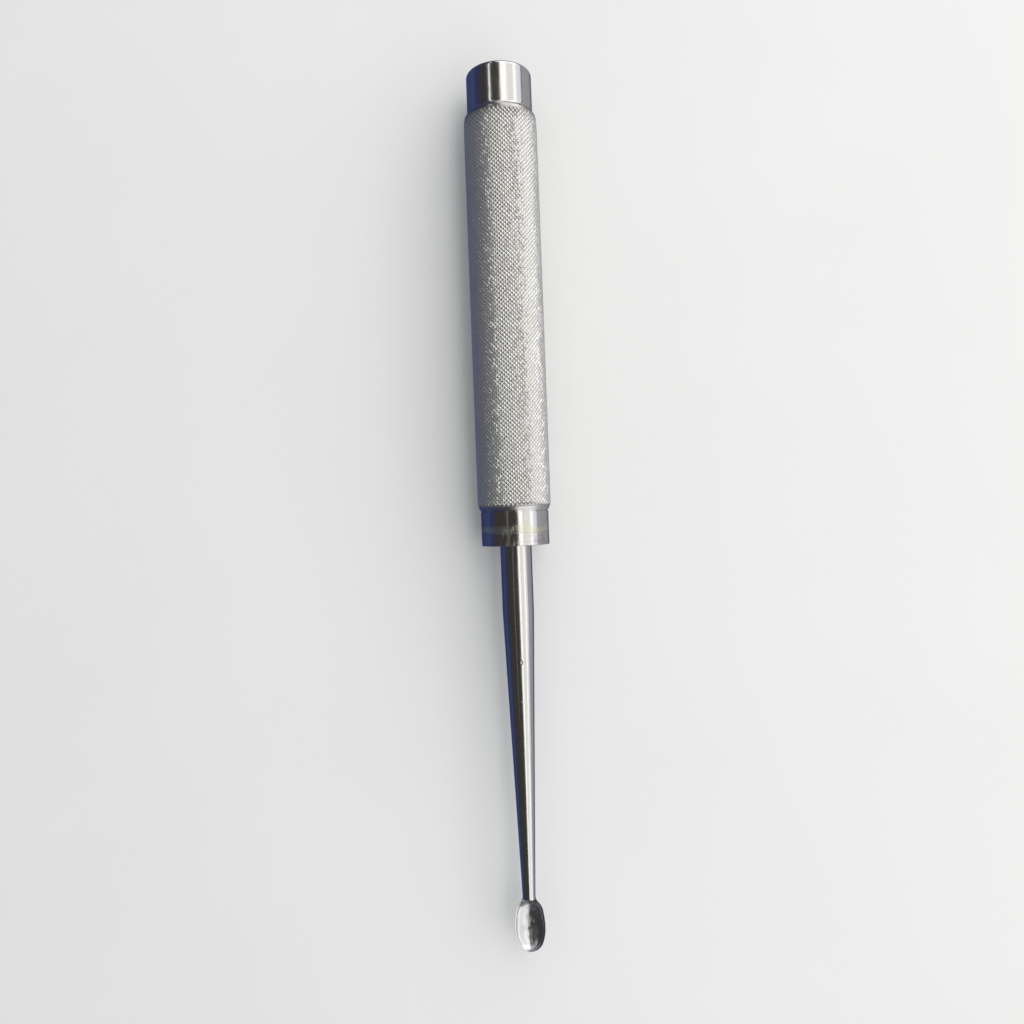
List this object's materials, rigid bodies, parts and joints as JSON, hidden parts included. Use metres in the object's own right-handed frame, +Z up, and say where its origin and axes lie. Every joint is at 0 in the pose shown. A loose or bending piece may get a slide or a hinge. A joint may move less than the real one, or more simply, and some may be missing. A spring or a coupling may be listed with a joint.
{
  "type": "bone curette",
  "caption": "Straight surgical bone curette: hollow round knurled handle, tapered round shank and a sharp-rimmed oval cup.",
  "frame": {"origin": "centre of the flat end face of the handle's butt", "axes": "+Y along the tool's axis, out of the butt's end face; +Z up, the way the cup's hollow faces; the cup is at -Y"},
  "size_m": [0.0232, 0.28, 0.0232],
  "materials": {
    "knurled_grip": "diamond knurled stainless steel",
    "polished_butt": "turned and polished stainless steel",
    "welded_collar": "polished stainless steel with heat tint at the weld",
    "polished_shank": "polished stainless steel, satin in the cup"
  },
  "bodies": {
    "root": {"handle_tube": "knurled_grip", "butt_plug": "polished_butt", "front_plug": "welded_collar", "curette_shank": "polished_shank"}
  },
  "joints": []
}
